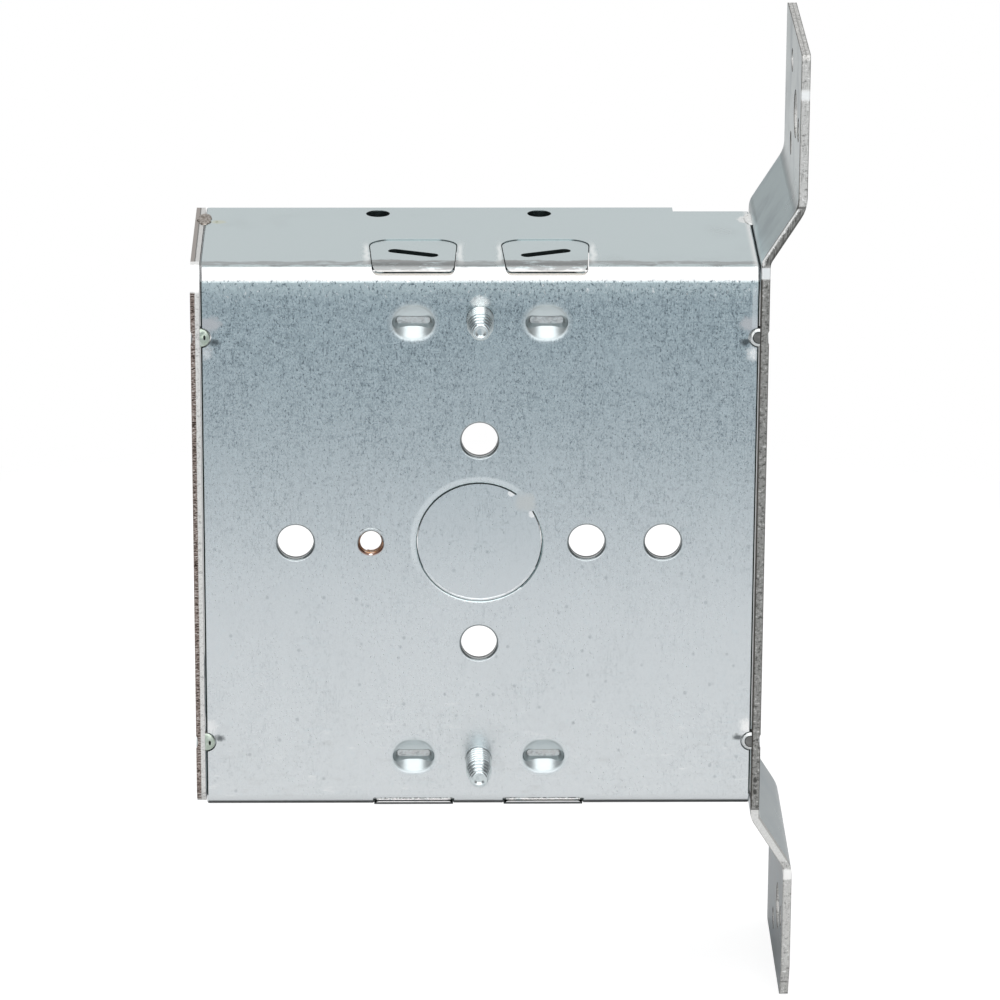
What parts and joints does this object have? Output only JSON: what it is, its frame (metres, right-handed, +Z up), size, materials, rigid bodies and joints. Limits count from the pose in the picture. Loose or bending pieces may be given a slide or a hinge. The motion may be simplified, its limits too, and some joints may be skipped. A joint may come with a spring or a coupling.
{
  "type": "square electrical box",
  "caption": "Square welded steel outlet box with a stepped stud bracket on one side, a round knockout, pry-outs at the folds and screw-down cable clamps inside.",
  "frame": {"origin": "centre of the back panel's outer face, which is the knockout's centre", "axes": "+Z up along the bracket, +Y from the back panel out of the open front, +X towards the bracket plate"},
  "size_m": [0.1078, 0.0477, 0.1784],
  "materials": {
    "galvanized_sheet": "galvanized, satin, speckled and lightly scratched",
    "weld_metal": "rough, heat stained",
    "zinc_screw": "bright zinc plate"
  },
  "bodies": {
    "box": {"back_wrap": "galvanized_sheet", "bracket_side_plate": "galvanized_sheet", "left_side_plate": "galvanized_sheet", "corner_welds": "weld_metal"},
    "upper_clamp": {"upper_cable_clamp": "galvanized_sheet"},
    "upper_screw": {"upper_clamp_screw": "zinc_screw"},
    "lower_clamp": {"lower_cable_clamp": "galvanized_sheet"},
    "lower_screw": {"lower_clamp_screw": "zinc_screw"}
  },
  "joints": [
    {"name": "upper_clamp_slide", "type": "slide", "parent": "box", "child": "upper_clamp", "axis": [0, 1, 0], "range_m": [-0.00212, 0.00423]},
    {"name": "upper_screw_turn", "type": "hinge", "parent": "upper_clamp", "child": "upper_screw", "pos_m": [0, 0, 0.0416], "axis": [0, 1, 0], "range_deg": [-725, 1445]},
    {"name": "lower_clamp_slide", "type": "slide", "parent": "box", "child": "lower_clamp", "axis": [0, 1, 0], "range_m": [-0.00212, 0.00423]},
    {"name": "lower_screw_turn", "type": "hinge", "parent": "lower_clamp", "child": "lower_screw", "pos_m": [0, 0, -0.0416], "axis": [0, 1, 0], "range_deg": [-725, 1445]}
  ],
  "couplings": [
    {"joint": "upper_screw_turn", "follows": "upper_clamp_slide", "rad_per_m": 5936.9},
    {"joint": "lower_screw_turn", "follows": "lower_clamp_slide", "rad_per_m": 5936.9}
  ]
}
